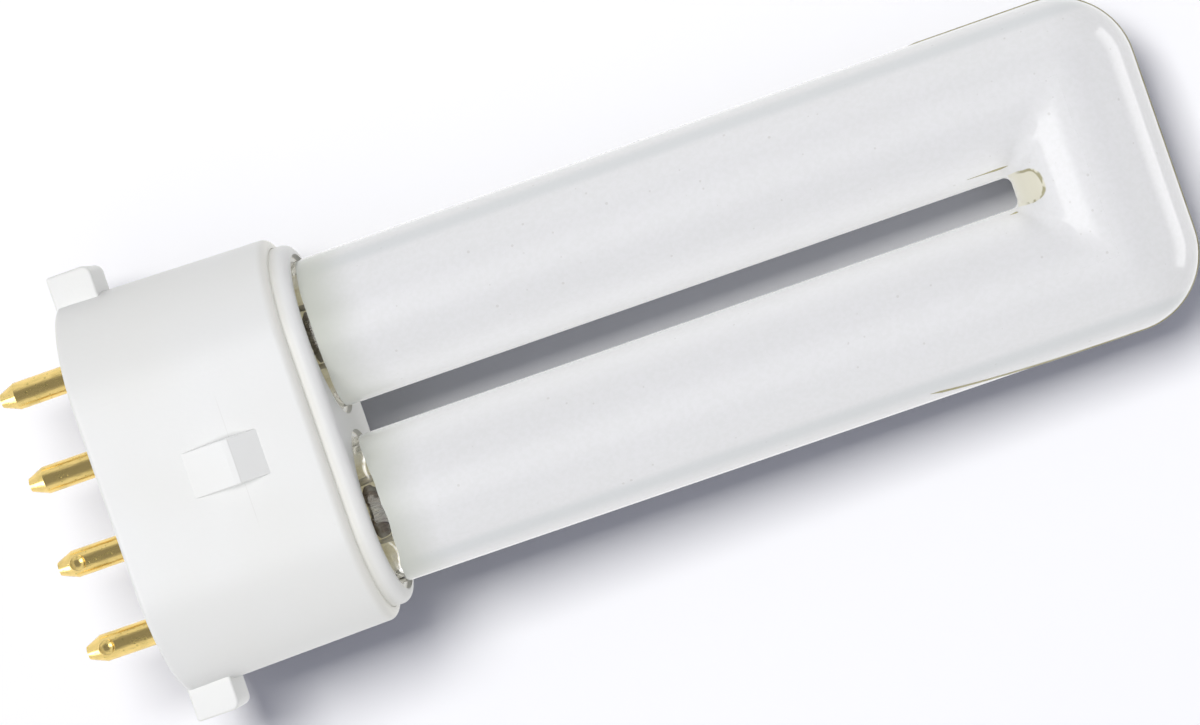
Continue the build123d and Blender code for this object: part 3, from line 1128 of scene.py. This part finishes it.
class BULB_OT_stage(bpy.types.Operator):
    """Sets the floor that the bulb rests on, the soft lights, the room and the camera"""

    bl_idname = "bulb.stage"
    bl_label = "Stage"

    def execute(self, context):
        stage = context.scene.bulb_stage
        floor = self.add_floor(stage)
        # One box lights the bulb evenly, and another only draws its shadow on the floor
        middle = Vector((CROWN_X / 2, 0, 0))
        over = self.add_lamp("over_box", middle, stage.over)
        ground = self.add_lamp("ground_box", middle, stage.ground)
        ground.data.color = stage.ground_tone
        for lamp, state in ((over, "EXCLUDE"), (ground, "INCLUDE")):
            lamp.visible_glossy = False
            self.link_lamp(lamp, state, floor)
        # Cards that only show as soft reflections: in the saddle, along the tip and on the pins' ends
        tube = bpy.data.objects["coated_tube"]
        shells = [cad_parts[node] for node in ("base_housing", "tube_collar")]
        pins = [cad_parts[f"contact_pin_{number}"] for number in PINS]
        key = self.add_lamp("key_card", Vector((CROWN_X, 0, TUBE_R)), stage.key)
        rim = self.add_lamp("rim_card", Vector((TIP_X, 0, RIM_CARD_Z)), stage.rim, up=(0, 0, 1))
        end = self.add_lamp("end_card", Vector((PIN_END_X, 0, 0)), stage.ends)
        for card, mirrors in ((key, [tube, *shells]), (rim, [tube]), (end, pins)):
            self.fade_card(card)
            self.link_lamp(card, "INCLUDE", *mirrors)
        self.add_room(context.scene, stage)
        self.add_camera(context.scene, stage)
        context.scene.view_settings.view_transform = "Standard"
        return {"FINISHED"}

    def add_floor(self, stage):
        """A plane that touches the lower catch and the tip, lit for the camera and glowing for the bulb."""
        run, drop = CROWN_X - CATCH_X, -CATCH_LOW
        slope = atan2(drop, run) - asin(TUBE_R / hypot(run, drop))
        bpy.ops.object.select_all(action="DESELECT")
        bpy.ops.mesh.primitive_plane_add(
            size=FLOOR_SIZE, location=(CATCH_X, 0, CATCH_LOW), rotation=(0, -slope, 0)
        )
        floor = bpy.context.object
        floor.name = "floor"
        finish = Finish("white_floor")
        path = finish.add("LightPath").outputs
        # After its first bounce, light finds no more glow in the floor
        first = finish.math("LESS_THAN", path["Diffuse Depth"], FIRST_BOUNCE)
        glow = finish.add("Emission", Strength=finish.times(first, self.floor_glow(finish, stage)))
        surface = finish.add("MixShader", Fac=path["Is Camera Ray"])
        finish.feed(surface.inputs[1], glow.outputs[0])
        finish.feed(surface.inputs[2], finish.shader.outputs[0])
        finish.fill(finish.tree.nodes["Material Output"], Surface=surface.outputs[0])
        white = finish.complete(Base_Color=stage.floor, Roughness=1.0, Specular_IOR_Level=0.0)
        floor.data.materials.append(white)
        return floor

    def floor_glow(self, finish, stage):
        """The light that the floor throws back, dim where the bulb shades it."""
        place = finish.axes(finish.place)
        under = finish.ramp(finish.away(place["Y"]), start=10 * MM, end=4 * MM)
        for start, end in ((-15 * MM, 0.0), (75 * MM, 60 * MM)):
            under = finish.times(under, finish.ramp(place["X"], start, end))
        shade = finish.times(under, stage.shade * stage.glow)
        return finish.math("SUBTRACT", stage.glow, shade)

    def add_lamp(self, name, target, brightness, up=(0, 1, 0)):
        """A rectangular lamp that faces its target and that the camera doesn't see."""
        offset, size = LAMPS[name]
        location = target + Vector(offset)
        bpy.ops.object.light_add(
            type="AREA", location=location, rotation=look_from(location, target, up)
        )
        lamp = bpy.context.object
        lamp.name = name
        lamp.visible_camera = False
        lamp.data.shape = "RECTANGLE"
        lamp.data.size, lamp.data.size_y = size
        lamp.data.energy = brightness * pi * size[0] * size[1]
        return lamp

    def link_lamp(self, lamp, state, *objects):
        """Has a lamp light only these objects, or all but these."""
        receivers = bpy.data.collections.new(f"{lamp.name}_receivers")
        for item in objects:
            receivers.objects.link(item)
        for entry in receivers.collection_objects:
            entry.light_linking.link_state = state
        lamp.light_linking.receiver_collection = receivers

    def fade_card(self, lamp):
        """Makes a lamp a card that only mirrors show, and that fades out at two of its edges."""
        way, *edges = CARD_FADES[lamp.name]
        lamp.visible_diffuse = False
        lamp.data.use_nodes = True
        sketch = NodeSketch(lamp.data.node_tree)
        place = sketch.axes(sketch.add("NewGeometry").outputs["Parametric"])
        level = sketch.times(*[sketch.ramp(place[way], dark, bright) for dark, bright in edges])
        sketch.fill(sketch.tree.nodes["Emission"], Strength=level)

    def add_room(self, scene, stage):
        """White to the camera and through glass, dim overhead in mirrors, and else an even sky."""
        world = bpy.data.worlds.new("white_room")
        world.use_nodes = True
        scene.world = world
        sketch = NodeSketch(world.node_tree)
        way = sketch.axes(sketch.add("TexCoord").outputs["Generated"])
        overhead = sketch.ramp(way["Z"], start=0.45, end=0.85)
        mirrored = sketch.mix(overhead, stage.horizon, stage.ceiling)
        path = sketch.add("LightPath").outputs
        room = sketch.mix(path["Is Glossy Ray"], stage.sky, mirrored)
        seen = sketch.math("MAXIMUM", path["Is Camera Ray"], path["Is Transmission Ray"])
        sketch.fill(sketch.tree.nodes["Background"], Color=sketch.mix(seen, room, WHITE))

    def add_camera(self, scene, stage):
        """A long lens over the bulb, leaning towards the tip, with the bulb turned in the picture."""
        target = Vector((stage.target_x, stage.target_y, 0))
        location = target + stage.distance * Vector((sin(stage.tilt), sin(stage.lean), cos(stage.tilt)))
        up = (sin(stage.turn), cos(stage.turn), 0)
        bpy.ops.object.camera_add(location=location, rotation=look_from(location, target, up))
        camera = bpy.context.object
        camera.data.lens = stage.lens
        camera.data.sensor_width = SENSOR_WIDTH
        camera.data.clip_start = CLIP_START
        scene.camera = camera


SETTINGS = {
    "bulb_glass": BulbGlassSettings,
    "bulb_seam": BulbSeamSettings,
    "bulb_electrode": BulbElectrodeSettings,
    "bulb_rim": BulbRimSettings,
    "bulb_finish": BulbFinishSettings,
    "bulb_stage": BulbStageSettings,
}
OPERATORS = (
    BULB_OT_coated_tube,
    BULB_OT_foot_glass,
    BULB_OT_mould_seam,
    BULB_OT_electrode_coils,
    BULB_OT_dimple_rims,
    BULB_OT_base_finish,
    BULB_OT_metal_finish,
    BULB_OT_stage,
)


class BULB_PT_sidebar(bpy.types.Panel):
    """Lists the bulb's pieces and their settings"""

    bl_idname = "BULB_PT_sidebar"
    bl_label = "Compact Fluorescent Bulb"
    bl_space_type = "VIEW_3D"
    bl_region_type = "UI"
    bl_category = "Bulb"

    def draw(self, context):
        for operator in OPERATORS:
            self.layout.operator(operator.bl_idname)
        for name, settings in SETTINGS.items():
            box = self.layout.box()
            for setting in settings.__annotations__:
                box.prop(getattr(context.scene, name), setting)


def register():
    for name, settings in SETTINGS.items():
        bpy.utils.register_class(settings)
        setattr(bpy.types.Scene, name, PointerProperty(type=settings))
    for kind in (*OPERATORS, BULB_PT_sidebar):
        bpy.utils.register_class(kind)


def unregister():
    for kind in (BULB_PT_sidebar, *reversed(OPERATORS)):
        bpy.utils.unregister_class(kind)
    for name, settings in SETTINGS.items():
        delattr(bpy.types.Scene, name)
        bpy.utils.unregister_class(settings)


def main():
    """Models and finishes every piece in order, and sets the stage."""
    register()
    bpy.ops.bulb.coated_tube()
    bpy.ops.bulb.foot_glass()
    bpy.ops.bulb.mould_seam()
    bpy.ops.bulb.electrode_coils()
    bpy.ops.bulb.dimple_rims()
    bpy.ops.bulb.base_finish()
    bpy.ops.bulb.metal_finish()
    bpy.ops.bulb.stage()


if __name__ == "__main__":
    main()
